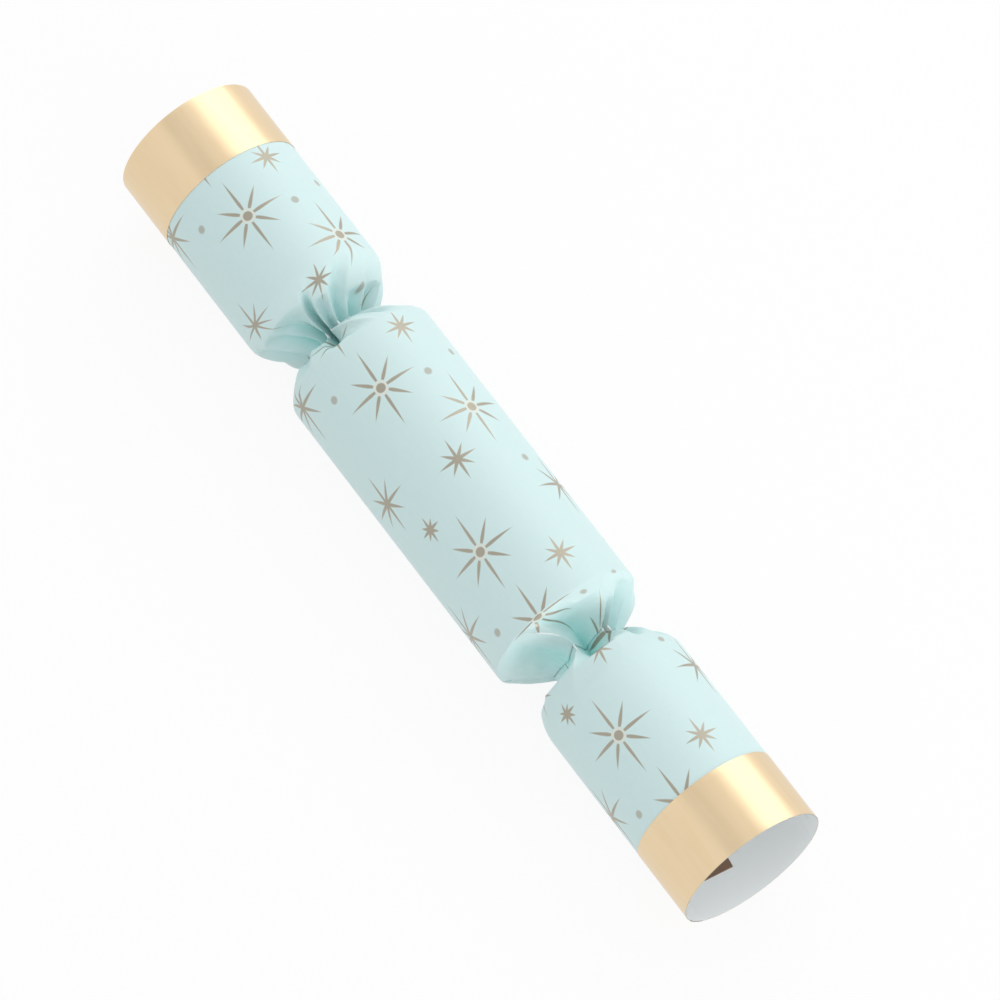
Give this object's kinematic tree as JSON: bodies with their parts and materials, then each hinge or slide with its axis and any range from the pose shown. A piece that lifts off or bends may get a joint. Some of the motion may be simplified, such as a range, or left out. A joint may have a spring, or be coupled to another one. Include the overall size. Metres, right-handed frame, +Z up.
{
  "type": "christmas cracker",
  "caption": "Pull-apart table cracker: printed paper tube gathered at two necks, with foil-banded open ends, a friction snap, and a paper hat, motto and gift inside.",
  "frame": {"origin": "on the table, under the middle of the barrel", "axes": "+X along the cracker towards its right-hand end, +Z up"},
  "size_m": [0.27, 0.046, 0.046],
  "materials": {
    "mint_wrapper": "satin printed paper",
    "gold_foil": "gold-lacquered foil",
    "tube_card": "plain grey-white board",
    "snap_card": "brown board",
    "snap_powder": "dry powder coat",
    "snap_grit": "fine abrasive coat",
    "sleeve_paper": "thin white paper",
    "hat_tissue": "crinkled tissue",
    "elastic": "matt rubber",
    "motto_paper": "uncoated paper",
    "gift_brass": "turned brass"
  },
  "bodies": {
    "barrel": {"wrapper_barrel": "mint_wrapper", "centre_tube": "tube_card", "paper_hat": "hat_tissue", "elastic_band": "elastic", "motto_slip": "motto_paper", "gift_top_disc": "gift_brass", "gift_top_spindle": "gift_brass"},
    "left_end": {"wrapper_left_end": "mint_wrapper", "gold_band_left": "gold_foil", "snap_strip_left": "snap_card", "snap_powder_patch": "snap_powder", "snap_sleeve": "sleeve_paper"},
    "right_end": {"wrapper_right_end": "mint_wrapper", "gold_band_right": "gold_foil", "snap_strip_right": "snap_card", "snap_rough_patch": "snap_grit"}
  },
  "joints": [
    {"name": "left_pull", "type": "slide", "parent": "barrel", "child": "left_end", "axis": [-1, 0, 0], "range_m": [0, 0.12]},
    {"name": "right_pull", "type": "slide", "parent": "barrel", "child": "right_end", "axis": [1, 0, 0], "range_m": [0, 0.12]}
  ]
}
